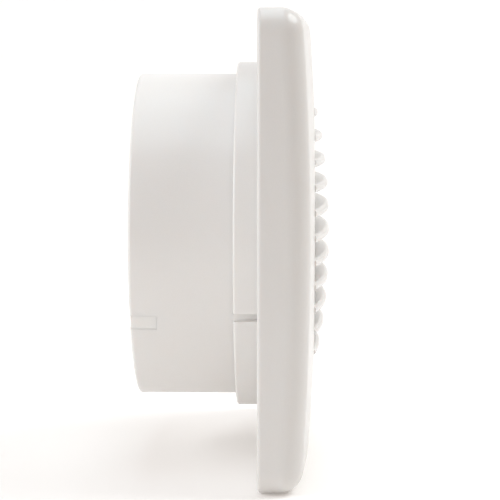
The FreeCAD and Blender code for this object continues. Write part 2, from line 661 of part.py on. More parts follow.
# ---- rotor and impeller ----
def make_motor_shaft():
    """Ground steel shaft with chamfered ends."""
    shaft = rod(SHAFT_R, IMPELLER_FRONT - 0.6, SHAFT_END)
    return shaft.makeChamfer(0.3, shaft.Edges[0:1] + shaft.Edges[2:3])


def make_rotor_core():
    """Squirrel-cage rotor stack."""
    return tube(ROTOR_R, SHAFT_R, STACK_FRONT, STACK_BACK)


def make_rotor_end_rings():
    """Cast aluminium rings on both ends of the rotor, with small balance pips."""
    made = []
    for y0, y1, pip in ((8.9, STACK_FRONT, 8.4), (STACK_BACK, 23.1, 23.6)):
        pips = [rod(0.7, min(pip, y0), max(pip, y1), *at_angle(9.7, k * 60)) for k in range(6)]
        made.append(tube(11.9, 7.6, y0, y1).multiFuse(pips).removeSplitter())
    return Part.makeCompound(made)


def make_thrust_washers():
    """Fibre washers that keep the rotor off its bushes."""
    return Part.makeCompound([tube(3.4, SHAFT_R, FRONT_BUSH[1] + 0.3, STACK_FRONT),
                              tube(3.4, SHAFT_R, STACK_BACK, REAR_BUSH[0] - 0.3)])


def blade_section(radius, chord, pitch_degrees, camber):
    """A thin cambered outline at the given radius, drawn at +X with its chord pitched to the disc."""
    pitch = math.radians(pitch_degrees)
    middle = (IMPELLER_FRONT + IMPELLER_BACK) / 2 + 0.35
    rows = []
    for side in (1, -1):
        line = []
        for i in range(7):
            t = i / 6
            along = (t - 0.5) * chord
            half_thick = 0.75 * math.sqrt(max(0.06, math.sin(math.pi * (0.04 + 0.92 * t))))
            bow = camber * 4 * t * (1 - t) + side * half_thick
            line.append(Vector(radius, middle + along * math.sin(pitch) - bow * math.cos(pitch),
                               along * math.cos(pitch) + bow * math.sin(pitch)))
        rows.append(line)
    upper, lower = Part.BSplineCurve(), Part.BSplineCurve()
    upper.interpolate(rows[0])
    lower.interpolate(rows[1])
    nose = Part.LineSegment(rows[1][0], rows[0][0]).toShape()
    tail = Part.LineSegment(rows[0][-1], rows[1][-1]).toShape()
    return Part.Wire([nose, upper.toShape(), tail, lower.toShape()])


def impeller_blades():
    """Twisted blades lofted from the hub to beyond the tip circle and trimmed to it."""
    root = blade_section(HUB_R - 1.4, 16.5, BLADE_ROOT_PITCH, 1.3)
    tip = blade_section(IMPELLER_R + 1.9, 25.0, BLADE_TIP_PITCH, 2.2)
    blade = Part.makeLoft([root, tip], True, True)
    blade = blade.common(tube(IMPELLER_R, HUB_R - 1.2, IMPELLER_FRONT + 0.2, IMPELLER_BACK - 0.2))
    return [turned(blade, k * 360 / IMPELLER_BLADES) for k in range(IMPELLER_BLADES)]


def make_impeller():
    """Hub cup with seven twisted blades, ribs inside it and a boss on the shaft."""
    cup = rod(HUB_R, IMPELLER_FRONT, IMPELLER_BACK)
    cup = cup.makeFillet(HUB_ROUND, rim_edges(cup, IMPELLER_FRONT, HUB_R))
    cup = cup.cut(rod(HUB_R - HUB_WALL, IMPELLER_FRONT + HUB_WALL, FAR))
    boss = rod(HUB_BOSS_R, IMPELLER_FRONT + 1.0, 1.2)
    ribs = [spoke(3.6, HUB_R - 1.2, 1.4, IMPELLER_FRONT + 1.0, -3.5, k * 360 / HUB_RIBS)
            for k in range(HUB_RIBS)]
    solid = cup.multiFuse(impeller_blades() + [boss] + ribs).cut(rod(SHAFT_R, -FAR, FAR))
    return solid.cut(rod(CLIP_R + 0.4, -FAR, IMPELLER_FRONT + 0.4)).removeSplitter()


def make_impeller_clip():
    """Push-on spring washer with teeth that locks the impeller on its shaft."""
    clip = tube(CLIP_R, SHAFT_R, IMPELLER_FRONT - 0.1, IMPELLER_FRONT + 0.4)
    for k in range(CLIP_TEETH):
        clip = clip.cut(spoke(1.0, 2.7, 0.5, -FAR, 0, (k + 0.5) * 360 / CLIP_TEETH))
    return clip


# ---- wiring inside ----
def lead_points(side, way, exit_z):
    """One motor lead: out between two coils, along an arm, through the throat's wall and to its terminal."""
    angle = math.radians(ARM_ANGLES[3])

    def point(r, y):
        return (r * math.cos(angle) - side * math.sin(angle), y, r * math.sin(angle) + side * math.cos(angle))

    x = terminal_ways()[way]
    return [point(18.6, 11.0), point(18.6, 3.9), point(34.0, 3.85), point(50.6, 3.95), point(50.6, -5.2),
            (x - (1 - side), WIRE_Y, exit_z), (x, WIRE_Y, TERMINAL_Z + 4.2)]


def make_live_lead():
    """Brown lead to the first way."""
    return route(lead_points(-1, 0, -39.0), LEAD_R)


def make_neutral_lead():
    """Blue lead to the middle way."""
    return route(lead_points(1, 1, -36.4), LEAD_R)


# ---- back-draught shutter ----
def hinge_bar(radius, reach):
    """A round bar along X on the flap's hinge, from -reach to reach."""
    return Part.makeCylinder(radius, 2 * reach, Vector(-reach, FLAP_HINGE_Y, FLAP_HINGE_Z), ALONG_X)


def make_shutter_flap():
    """A thin round flap with a barrel at its top, ribs across it, and a pin at each end of the barrel."""
    y0 = FLAP_HINGE_Y + 0.1
    y1 = y0 + FLAP_THICK
    disc = rod(FLAP_R, y0, y1).common(block(-FAR, FAR, 0, FAR, -FAR, FLAP_HINGE_Z))
    for side in (-1, 1):
        low, high = sorted((side * (EAR_X - EAR_GAP), side * FAR))
        disc = disc.cut(block(low, high, 0, FAR, FLAP_SHOULDER, FAR))
    ribs = [block(-FLAP_RIB_HALF, FLAP_RIB_HALF, y1 - 0.1, y1 + 0.8, z - 0.5, z + 0.5) for z in FLAP_RIB_Z]
    barrel = hinge_bar(BARREL_R, EAR_X - EAR_GAP)
    pins = hinge_bar(PIN_R, EAR_X + EAR_THICK + 1.0)
    return disc.multiFuse(ribs + [barrel, pins]).removeSplitter()


def frame_ears():
    """The two ears that hold the flap's pins."""
    ears = []
    for side in (-1, 1):
        low, high = sorted((side * EAR_X, side * (EAR_X + EAR_THICK)))
        ear = block(low, high, FRAME_FRONT, FLAP_HINGE_Y + 2.2, FLAP_HINGE_Z - 2.4, FAR)
        ears.append(ear.common(rod(FRAME_OUT_R - 0.4, 0, FAR)))
    return ears


def frame_keys():
    """Keys that fill the windows in the spigot's mouth."""
    low, high = SPIGOT_END - KEY_LENGTH + KEY_GAP, SPIGOT_END - 0.3
    keys = [spoke(FRAME_IN_R + 0.3, FAR, KEY_WIDTH - 2 * KEY_GAP, low, high, a) for a in both_sides(KEY_ANGLE)]
    return [k.cut(rod(FRAME_OUT_R, 0, FRAME_FRONT)) for k in keys]


def make_shutter_frame():
    """Ring in the spigot's mouth with a seat for the flap, two ears for its pins, and keys that lock it."""
    ring = tube(FRAME_OUT_R, FRAME_IN_R, FRAME_FRONT, FRAME_BACK)
    seat = tube(FRAME_OUT_R - 0.2, SEAT_R, FRAME_FRONT, FRAME_FRONT + SEAT_THICK)
    solid = ring.multiFuse([seat] + frame_ears() + frame_keys())
    solid = solid.common(rod(SPIGOT_R - 0.05, 0, FAR))
    return solid.cut(hinge_bar(PIN_HOLE_R, 30)).removeSplitter()


# ---- assembly ----
nodes["front_cover"] = make_front_cover()
nodes["cover_screw"] = make_cover_screw()
nodes["back_plate"] = make_back_plate()
nodes["step_ring"] = make_step_ring()
nodes["duct_tube"] = make_duct_tube()
nodes["cable_grommet"] = make_cable_grommet()
nodes["cable_clamp"] = make_cable_clamp()
nodes["cable_clamp_screws"] = make_clamp_screws()
nodes["terminal_block"] = make_terminal_block()
nodes["terminal_clamps"] = make_terminal_clamps()
nodes["terminal_screws"] = make_terminal_screws()
nodes["terminal_block_screw"] = make_terminal_fixing()
nodes["motor_carrier"] = make_motor_carrier()
nodes["carrier_screws"] = make_carrier_screws()
nodes["stator_core"] = make_stator_core()
nodes["coil_bobbins"] = make_coil_bobbins()
nodes["coil_windings"] = make_coil_windings()
nodes["shading_rings"] = make_shading_rings()
nodes["front_bearing_bracket"] = make_front_bracket()
nodes["rear_bearing_bracket"] = make_rear_bracket()
nodes["front_bush"] = make_bush(*FRONT_BUSH)
nodes["rear_bush"] = make_bush(*REAR_BUSH)
nodes["motor_screws"] = make_motor_screws()
nodes["motor_shaft"] = make_motor_shaft()
nodes["rotor_core"] = make_rotor_core()
nodes["rotor_end_rings"] = make_rotor_end_rings()
nodes["thrust_washers"] = make_thrust_washers()
nodes["impeller"] = make_impeller()
nodes["impeller_clip"] = make_impeller_clip()
nodes["live_lead"] = make_live_lead()
nodes["neutral_lead"] = make_neutral_lead()
nodes["shutter_frame"] = make_shutter_frame()
nodes["shutter_flap"] = make_shutter_flap()

os.makedirs("parts", exist_ok=True)
for name, shape in nodes.items():
    good = shape.isValid() and all(s.isClosed() for s in shape.Shells)
    state = "ok" if good else "BAD"
    print("%-24s solids %d  volume %9.1f  %s" % (name, len(shape.Solids), shape.Volume, state))
    shape.exportStep("parts/%s.step" % name)
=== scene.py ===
# %% [markdown]
# # A bathroom extractor fan, finished by code
#
# The fan is an axial one for a round duct through a wall. A square cover with a domed grille faces
# the room. Behind it a plate carries a stepped ring and a duct tube, and in the tube sit a small
# motor, an impeller and a flap that stops cold air from blowing back.
#
# The engineering model already has every solid part in its true place. It could be modelled again
# here by hand, but the places and fits would drift, so this lesson loads it as a fixed frame and adds
# only what a solid modeller leaves out: the finish of each material, the wound copper wire, the screws'
# threads, the light and the camera. Every length is in metres, and +Y runs from the room into the duct.

# %% Load the frame
import math

import bmesh
import bpy
import numpy as np
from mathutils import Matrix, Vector


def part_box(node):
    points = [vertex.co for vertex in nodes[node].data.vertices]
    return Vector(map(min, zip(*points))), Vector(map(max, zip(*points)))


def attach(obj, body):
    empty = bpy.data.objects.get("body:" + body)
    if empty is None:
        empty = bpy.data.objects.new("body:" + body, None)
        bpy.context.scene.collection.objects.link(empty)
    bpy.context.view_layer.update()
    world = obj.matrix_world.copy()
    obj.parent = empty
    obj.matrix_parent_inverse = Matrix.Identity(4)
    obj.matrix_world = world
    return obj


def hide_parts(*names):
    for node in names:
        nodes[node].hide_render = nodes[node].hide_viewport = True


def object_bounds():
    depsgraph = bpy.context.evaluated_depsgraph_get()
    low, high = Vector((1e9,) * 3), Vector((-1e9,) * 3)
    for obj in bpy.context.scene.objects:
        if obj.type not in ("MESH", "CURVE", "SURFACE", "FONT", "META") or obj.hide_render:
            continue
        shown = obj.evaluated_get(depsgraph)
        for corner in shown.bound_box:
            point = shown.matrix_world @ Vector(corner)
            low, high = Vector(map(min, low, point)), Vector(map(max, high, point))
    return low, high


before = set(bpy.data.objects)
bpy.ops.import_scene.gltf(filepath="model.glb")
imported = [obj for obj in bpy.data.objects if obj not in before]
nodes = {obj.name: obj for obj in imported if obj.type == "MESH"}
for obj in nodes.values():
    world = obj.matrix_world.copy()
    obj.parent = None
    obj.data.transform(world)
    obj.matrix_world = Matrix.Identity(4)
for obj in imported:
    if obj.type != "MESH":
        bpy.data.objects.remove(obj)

cad_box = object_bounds()
print("frame:", len(nodes), "nodes, size", [round(b - a, 4) for a, b in zip(*cad_box)])

# %% [markdown]
# ## The camera
#
# The fan is looked at from its side, so that the duct tube points left and the grille's dome shows
# as a row of teeth on the right. A long lens about half a metre away keeps the tube's mouth nearly
# straight. The camera could be turned by three angles found by trial. Here it is placed by distance,
# height angle and swing round the fan, and a track to its aim point gives the turn, which is easier to
# read and to correct.

# %% Place the camera
AIM = Vector((0.0, 0.0036, -0.0052))   # the point in the middle of the picture
DISTANCE = 0.5628
LOOK_DOWN = math.radians(5.69)
SWING = math.radians(1.4534)             # how far the camera stands round towards the room
LENS_MM = 130.5
SENSOR_MM = 36.0

looking = Vector((math.cos(LOOK_DOWN) * math.cos(SWING),
                  math.cos(LOOK_DOWN) * math.sin(SWING), -math.sin(LOOK_DOWN)))
camera = bpy.data.objects.new("camera", bpy.data.cameras.new("camera"))
camera.data.lens = LENS_MM
camera.data.sensor_width = SENSOR_MM
camera.location = AIM - looking * DISTANCE
camera.rotation_euler = looking.to_track_quat("-Z", "Y").to_euler()
bpy.context.scene.collection.objects.link(camera)
bpy.context.scene.camera = camera
print("camera at", [round(c, 3) for c in camera.location])

# %% [markdown]
# ## The studio
#
# White plastic on white paper is shown by soft light that falls off round the form. The paper is one
# sweep: flat under the fan, then a quarter circle, then upright, so no edge shows behind the fan. It
# could be three planes with a bevel, but one profile curve carried sideways is shorter and has no
# joints to catch the light.

# %% The paper sweep
PAPER_HALF = 1.6
PAPER_REACH = 0.55         # length of the flat part in front of the turn
PAPER_TURN = 0.45          # radius of the quarter circle
PAPER_TOP = 2.2
PAPER_COLUMNS = 9
FLOOR_GAP = 0.0002         # the paper lies this far under the fan


def paper_profile(reach, radius, top, count=40):
    """Points (distance, height): a flat run from -reach to reach, a quarter circle, then an upright."""
    turn = np.linspace(0, np.pi / 2, count)
    bend = np.stack([reach + radius * np.sin(turn), radius - radius * np.cos(turn)], 1)
    return np.concatenate([[[-reach, 0.0]], bend, [[reach + radius, top]]])


def grid_mesh(name, points, wrap_u=False, wrap_v=False):
    """A mesh over an array of points (rows, columns, 3). A wrapped direction joins its end to its start."""
    rows, columns = points.shape[:2]
    i = np.arange(rows if wrap_u else rows - 1)[:, None]
    j = np.arange(columns if wrap_v else columns - 1)[None, :]
    i_next, j_next = (i + 1) % rows, (j + 1) % columns
    quads = np.stack([i * columns + j, i * columns + j_next, i_next * columns + j_next,
                      i_next * columns + j], -1).reshape(-1, 4)
    mesh = bpy.data.meshes.new(name)
    mesh.from_pydata(points.reshape(-1, 3).tolist(), [], quads.tolist())
    mesh.polygons.foreach_set("use_smooth", np.ones(len(quads), bool))
    return mesh


def add(name, mesh):
    """A named object for a mesh, in the scene."""
    made = bpy.data.objects.new(name, mesh)
    bpy.context.scene.collection.objects.link(made)
    return made


profile = paper_profile(PAPER_REACH, PAPER_TURN, PAPER_TOP)
across = np.linspace(-PAPER_HALF, PAPER_HALF, PAPER_COLUMNS)
floor_z = cad_box[0].z - FLOOR_GAP
sheet_shape = (len(profile), PAPER_COLUMNS)
paper_points = np.stack([np.broadcast_to(profile[:, None, 0], sheet_shape),
                         np.broadcast_to(across, sheet_shape),
                         np.broadcast_to(profile[:, None, 1] + floor_z, sheet_shape)], -1)
paper = add("studio_paper", grid_mesh("studio_paper", paper_points[:, ::-1]))
print("paper:", len(paper.data.polygons), "faces")

# %% [markdown]
# ## Light
#
# The fan is lit by large soft lights from above. On the wall side a tall one and a weaker one over it
# make the tube bright along its top and let it fall off towards its underside. The one on the room side
# reaches in between the grille's blades and draws the bright line along the cover's rounded edge. The
# fourth keeps the paper behind the fan white. The lamps are a little cool and the air is warm, so
# shadows on the white plastic turn warm. A picture of a real studio could light it too, but area
# lights are plain, repeatable and easy to tune one at a time.

# %% Hang the lights
def soft_light(name, at, aim, size, watts, tint=(1.0, 1.0, 1.0)):
    """A rectangular light at a place, turned towards an aim point."""
    data = bpy.data.lights.new(name, "AREA")
    data.shape = "RECTANGLE"
    data.size, data.size_y = size
    data.energy = watts
    data.color = tint
    light = bpy.data.objects.new(name, data)
    light.location = at
    light.rotation_euler = (Vector(aim) - Vector(at)).to_track_quat("-Z", "Y").to_euler()
    bpy.context.scene.collection.objects.link(light)
    return light


soft_light("wall_side", (-0.45, 0.8, 0.3), (0, 0.02, 0), (0.4, 0.9), 4.0, (0.88, 0.94, 1.0))
soft_light("wall_side_top", (0.05, 0.8, 0.5), (0, 0.02, 0), (0.6, 0.6), 1.1, (0.95, 0.95, 1.0))
soft_light("room_side_top", (0.1, -0.6, 0.75), (0, -0.02, 0), (0.6, 0.5), 4.9, (0.93, 0.98, 1.0))
soft_light("paper_light", (0.35, 0.0, 1.1), (1.0, 0.0, 0.2), (0.3, 1.6), 3.0, (0.8, 0.93, 1.0))

AIR_TINT = (1.0, 0.885, 0.82, 1.0)
AIR_STRENGTH = 0.45
world = bpy.data.worlds.new("studio_air")
world.use_nodes = True
air = world.node_tree.nodes["Background"]
air.inputs["Color"].default_value = AIR_TINT
air.inputs["Strength"].default_value = AIR_STRENGTH
bpy.context.scene.world = world
bpy.context.scene.view_settings.view_transform = "Standard"

# %% [markdown]
# ## Tools for finishes
#
# Each finish is a small tree of nodes that ends in one shader. Painted pictures could be wrapped round
# the parts, but a pattern worked out from the part's own coordinates needs no unwrapping and stays
# sharp at any size. Six little tools make the trees short: a starting material, a place to read
# coordinates from, a soft cloud of values, a mix of two colours, a relief that roughens the surface, and
# the joining of the results to the shader.

# %% Material tools
CLOUD_LOW, CLOUD_HIGH = 0.3, 0.7       # most of a noise lies between these
MIX_FIRST, MIX_SECOND, MIX_RESULT = 6, 7, 2    # the colour sockets of a mix, which share their names


def start_finish(name, **sockets):
    """A new material and its tree. The keywords are constants on the shader's own sockets."""
    material = bpy.data.materials.new(name)
    material.use_nodes = True
    shader = material.node_tree.nodes["Principled BSDF"]
    for socket, value in sockets.items():
        shader.inputs[socket.replace("_", " ")].default_value = value
    return material, material.node_tree, shader


def place(tree, stretch=(1.0, 1.0, 1.0), turn=(0.0, 0.0, 0.0)):
    """The piece's own coordinates in metres, stretched and turned."""
    where = tree.nodes.new("ShaderNodeTexCoord")
    mapping = tree.nodes.new("ShaderNodeMapping")
    mapping.inputs["Scale"].default_value = stretch
    mapping.inputs["Rotation"].default_value = turn
    tree.links.new(where.outputs["Object"], mapping.inputs["Vector"])
    return mapping.outputs["Vector"]


def cloud(tree, where, per_metre, low, high, detail=3.0, roughness=0.55):
    """A soft random value between low and high, with so many lumps to the metre."""
    noise = tree.nodes.new("ShaderNodeTexNoise")
    noise.inputs["Scale"].default_value = per_metre
    noise.inputs["Detail"].default_value = detail
    noise.inputs["Roughness"].default_value = roughness
    tree.links.new(where, noise.inputs["Vector"])
    spread = tree.nodes.new("ShaderNodeMapRange")
    spread.clamp = False       # so that a relief has no flat tops
    spread.inputs["From Min"].default_value = CLOUD_LOW
    spread.inputs["From Max"].default_value = CLOUD_HIGH
    spread.inputs["To Min"].default_value = low
    spread.inputs["To Max"].default_value = high
    tree.links.new(noise.outputs["Fac"], spread.inputs["Value"])
    return spread.outputs["Result"]


def between(tree, factor, first, second):
    """A colour between two others. The factor and both colours are each a value or a socket."""
    mix = tree.nodes.new("ShaderNodeMix")
    mix.data_type = "RGBA"
    filled = {mix.inputs["Factor"]: factor, mix.inputs[MIX_FIRST]: first, mix.inputs[MIX_SECOND]: second}
    for socket, value in filled.items():
        if isinstance(value, bpy.types.NodeSocket):
            tree.links.new(value, socket)
        else:
            socket.default_value = value
    return mix.outputs[MIX_RESULT]


def relief(tree, height, depth, under=None):
    """Turns a height into a bent surface normal, on top of another relief if one is given."""
    bump = tree.nodes.new("ShaderNodeBump")
    bump.inputs["Distance"].default_value = depth
    bump.inputs["Strength"].default_value = 1.0
    tree.links.new(height, bump.inputs["Height"])
    if under is not None:
        tree.links.new(under, bump.inputs["Normal"])
    return bump.outputs["Normal"]


def connect(tree, shader, **sockets):
    """Joins outputs to the shader's sockets by name."""
    for socket, source in sockets.items():
        tree.links.new(source, shader.inputs[socket.replace("_", " ")])


print("a mix's colours are its sockets", MIX_FIRST, "and", MIX_SECOND)

# %% [markdown]
# ## The paper's finish
#
# Photographers' background paper is matt, with a felt of short fibres and a slight cockle. Lit from in
# front alone it goes grey behind a white fan, so in a studio it gets its own lamps. Those could be
# built as well, but letting the paper glow a little does the same and leaves no second shadow.

# %% Paper finish
PAPER_GLOW = 0.17
GLOW_TINT = (1.0, 0.94, 0.89, 1.0)
paper_white, tree, shader = start_finish(
    "studio_paper", Emission_Strength=PAPER_GLOW, Emission_Color=GLOW_TINT, Specular_IOR_Level=0.1)
where = place(tree)
cockled = relief(tree, cloud(tree, where, 3.0, 0.0, 1.0), 4.0e-4)
felt = relief(tree, cloud(tree, where, 900.0, 0.0, 1.0, 5.0), 2.0e-5, cockled)
tone = between(tree, cloud(tree, where, 2.0, 0.0, 1.0), (0.90, 0.895, 0.885, 1), (0.88, 0.875, 0.865, 1))
connect(tree, shader, Base_Color=tone, Roughness=cloud(tree, where, 300.0, 0.85, 0.95), Normal=felt)
paper.data.materials.append(paper_white)
print("paper finished")

# %% [markdown]
# ## White moulded plastic
#
# The cover, plate, tube and carrier are injection moulded in white ABS. The steel mould is polished
# for the cover and spark-eroded for the hidden parts, so the cover is satin smooth with a faint
# orange peel and the others are finely pebbled. Pigment never mixes perfectly, so the white drifts a
# little over centimetres. A plain white shader would look like paper; a little light let into the
# surface, a drifting tint and a fine relief make it read as plastic.

# %% Moulded plastic
PLASTIC_IOR = 1.5
PIGMENT_SPECK = (0.55, 0.53, 0.50, 1.0)


def moulded(name, light_tint, dark_tint, gloss, peel, pebble, coat=0.0):
    """Moulded plastic: tint drift, patches of gloss, orange peel over millimetres and fine pebbling."""
    material, tree, shader = start_finish(
        name, Subsurface_Weight=0.22, Subsurface_Scale=0.0025, Subsurface_Radius=(1.0, 0.8, 0.68),
        Coat_Weight=coat, Coat_Roughness=0.12, IOR=PLASTIC_IOR)
    where = place(tree)
    drift = between(tree, cloud(tree, where, 14.0, 0.0, 1.0), light_tint, dark_tint)
    specks = between(tree, cloud(tree, where, 2600.0, 0.0, 0.05, 1.0), drift, PIGMENT_SPECK)
    shine = cloud(tree, where, 70.0, gloss - 0.03, gloss + 0.04, 4.0)
    orange_peel = relief(tree, cloud(tree, where, 190.0, 0.0, 1.0, 1.0), peel)
    pebbles = relief(tree, cloud(tree, where, 3200.0, 0.0, 1.0, 2.0), pebble, orange_peel)
    connect(tree, shader, Base_Color=specks, Roughness=shine, Normal=pebbles)
    return material


satin_white = moulded("satin_white_plastic", (0.735, 0.72, 0.70, 1), (0.712, 0.694, 0.672, 1),
                      0.34, 2.0e-5, 2.5e-6, coat=0.25)
duct_white = moulded("duct_white_plastic", (0.80, 0.785, 0.765, 1), (0.775, 0.757, 0.735, 1),
                     0.33, 2.4e-5, 4.0e-6, coat=0.12)
plate_white = moulded("plate_white_plastic", (0.79, 0.775, 0.755, 1), (0.76, 0.743, 0.72, 1),
                      0.42, 2.0e-5, 1.2e-5)
carrier_white = moulded("carrier_white_plastic", (0.76, 0.75, 0.735, 1), (0.73, 0.715, 0.695, 1),
                        0.45, 2.0e-5, 1.2e-5)
shutter_white = moulded("shutter_white_plastic", (0.82, 0.81, 0.79, 1), (0.80, 0.785, 0.76, 1),
                        0.38, 1.6e-5, 8.0e-6)
flap_white = moulded("flap_thin_plastic", (0.83, 0.825, 0.81, 1), (0.80, 0.79, 0.77, 1),
                     0.34, 3.0e-5, 6.0e-6)
impeller_white = moulded("impeller_plastic", (0.71, 0.71, 0.705, 1), (0.67, 0.67, 0.665, 1),
                         0.36, 2.6e-5, 7.0e-6)
print("plastics made")

# %% [markdown]
# ## Nylon, fibre, rubber and cable insulation
#
# The terminal block, bobbins and cable clamp are natural nylon, which is milky and lets light in. The
# thrust washers are pressed red fibre. The grommet is matt black rubber with a bloom of grey, and the
# leads have soft coloured insulation. Each is the same idea as the plastic above with its own tint,
# depth of light and grain.

# %% Soft and translucent finishes
NYLON_IOR = 1.53


def milky(name, tint, deep_tint, depth):
    """Natural nylon: light goes in by a few millimetres, over a faint cloudiness."""
    material, tree, shader = start_finish(name, Subsurface_Weight=0.25, Subsurface_Scale=depth,
                                          Subsurface_Radius=(1.0, 0.85, 0.6), IOR=NYLON_IOR)
    where = place(tree)
    tone = between(tree, cloud(tree, where, 160.0, 0.0, 1.0), tint, deep_tint)
    grain = relief(tree, cloud(tree, where, 2400.0, 0.0, 1.0), 8.0e-6)
    connect(tree, shader, Base_Color=tone, Roughness=cloud(tree, where, 300.0, 0.36, 0.48), Normal=grain)
    return material


def pliable(name, tint, worn_tint, gloss, grain_depth, fibre=(1.0, 1.0, 1.0)):
    """Rubber, pressed fibre or cable insulation: two tints in a cloud and a grain that may be drawn out."""
    material, tree, shader = start_finish(name, IOR=PLASTIC_IOR)
    where = place(tree, fibre)
    tone = between(tree, cloud(tree, where, 420.0, 0.0, 1.0, 5.0), tint, worn_tint)
    grain = relief(tree, cloud(tree, where, 1500.0, 0.0, 1.0, 4.0), grain_depth)
    connect(tree, shader, Base_Color=tone, Roughness=cloud(tree, where, 500.0, gloss - 0.06, gloss + 0.08),
            Normal=grain)
    return material


terminal_nylon = milky("terminal_nylon", (0.80, 0.78, 0.70, 1), (0.74, 0.71, 0.62, 1), 0.003)
bobbin_nylon = milky("bobbin_nylon", (0.74, 0.71, 0.60, 1), (0.68, 0.64, 0.52, 1), 0.002)
clamp_nylon = milky("clamp_nylon", (0.70, 0.69, 0.66, 1), (0.64, 0.63, 0.59, 1), 0.002)
black_rubber = pliable("black_rubber", (0.018, 0.018, 0.019, 1), (0.045, 0.044, 0.043, 1), 0.62, 2.0e-5)
red_fibre = pliable("pressed_fibre", (0.30, 0.075, 0.04, 1), (0.20, 0.05, 0.03, 1), 0.55, 1.5e-5,
                    (1.0, 4.0, 1.0))
brown_cover = pliable("brown_insulation", (0.11, 0.045, 0.022, 1), (0.085, 0.035, 0.018, 1), 0.38, 6.0e-6)
blue_cover = pliable("blue_insulation", (0.018, 0.075, 0.33, 1), (0.014, 0.06, 0.27, 1), 0.38, 6.0e-6)
print("soft finishes made")

# %% [markdown]
# ## Metals
#
# Screws are zinc plated, with a bluish skin and fine drawn scratches. The shaft is ground, its lines
# running round it. The stator and rotor are stacks of thin punched sheets, which show as fine lines
# across the stack. The bearing bridges are die cast, the bushes sintered and porous, the terminal
# tubes turned brass. One tool with a grain direction, a grain depth and two tints makes them all, and
# the stack adds its own bands.

# %% Metals
WAVE_TO_LENGTH = math.pi / 10          # a wave texture of scale 1 repeats over this length
SHEET_STAIN = (0.10, 0.075, 0.06, 1)


def metal(name, tint, other_tint, gloss, grain, grain_depth, per_metre=900.0, coat=0.0):
    """Bare or plated metal: two tints, and scratches or pores drawn out by the grain's stretch."""
    material, tree, shader = start_finish(name, Metallic=1.0, Coat_Weight=coat, Coat_Roughness=0.2)
    where = place(tree, grain)
    tone = between(tree, cloud(tree, place(tree), 180.0, 0.0, 1.0, 4.0), tint, other_tint)
    marks = cloud(tree, where, per_metre, 0.0, 1.0, 5.0, 0.65)
    connect(tree, shader, Base_Color=tone, Normal=relief(tree, marks, grain_depth),
            Roughness=cloud(tree, where, per_metre * 0.6, gloss - 0.07, gloss + 0.09, 4.0))
    return material


def stacked_sheets(name, tint, edge_tint, sheet=0.0005):
    """Punched sheets: bands across the stack, as wide as a sheet, with a dark line where two meet."""
    material, tree, shader = start_finish(name, Metallic=0.85)
    where = place(tree)
    bands = tree.nodes.new("ShaderNodeTexWave")
    bands.bands_direction = "Y"
    bands.inputs["Scale"].default_value = WAVE_TO_LENGTH / sheet
    bands.inputs["Distortion"].default_value = 0.4
    bands.inputs["Detail Scale"].default_value = 40.0
    tree.links.new(where, bands.inputs["Vector"])
    lines = between(tree, bands.outputs["Fac"], edge_tint, tint)
    stained = between(tree, cloud(tree, where, 240.0, 0.0, 0.35, 4.0), lines, SHEET_STAIN)
    grooves = relief(tree, bands.outputs["Fac"], 4.0e-5)
    shine = cloud(tree, where, 400.0, 0.35, 0.55)
    connect(tree, shader, Base_Color=stained, Roughness=shine, Normal=grooves)
    return material


zinc_plate = metal("zinc_plated_steel", (0.56, 0.57, 0.60, 1), (0.48, 0.49, 0.50, 1), 0.32,
                   (1, 9, 1), 6e-6)
slotted_steel = metal("slotted_screw_steel", (0.55, 0.56, 0.57, 1), (0.44, 0.44, 0.45, 1), 0.36,
                      (1, 6, 1), 8e-6)
ground_steel = metal("ground_shaft_steel", (0.62, 0.62, 0.63, 1), (0.55, 0.55, 0.56, 1), 0.22,
                     (1, 14, 1), 3e-6)
blued_spring = metal("blued_spring_steel", (0.15, 0.16, 0.20, 1), (0.22, 0.19, 0.17, 1), 0.30,
                     (1, 1, 1), 5e-6)
die_cast = metal("die_cast_aluminium", (0.60, 0.60, 0.61, 1), (0.50, 0.50, 0.51, 1), 0.46,
                 (1, 1, 1), 2.2e-5, 1400)
sintered = metal("sintered_bronze", (0.46, 0.27, 0.12, 1), (0.34, 0.19, 0.08, 1), 0.48,
                 (1, 1, 1), 2.5e-5, 2600)
turned_brass = metal("turned_brass", (0.66, 0.46, 0.17, 1), (0.56, 0.38, 0.13, 1), 0.27,
                     (6, 6, 1), 6e-6)
bare_copper = metal("bare_copper", (0.62, 0.28, 0.16, 1), (0.42, 0.17, 0.10, 1), 0.34,
                    (1, 1, 1), 8e-6)
coil_copper = metal("enamelled_copper", (0.47, 0.17, 0.055, 1), (0.37, 0.12, 0.04, 1), 0.30,
                    (1, 1, 1), 3e-6, 700, 0.6)
punched_steel = stacked_sheets("punched_sheet_steel", (0.30, 0.31, 0.33, 1), (0.06, 0.06, 0.065, 1))
print("metals made")

# %% [markdown]
# ## Dress the frame's own parts
#
# The solids already have their true shapes, so each keeps its mesh and only gets its finish. A dictionary
# from part to finish is easier to check than a run of assignments.

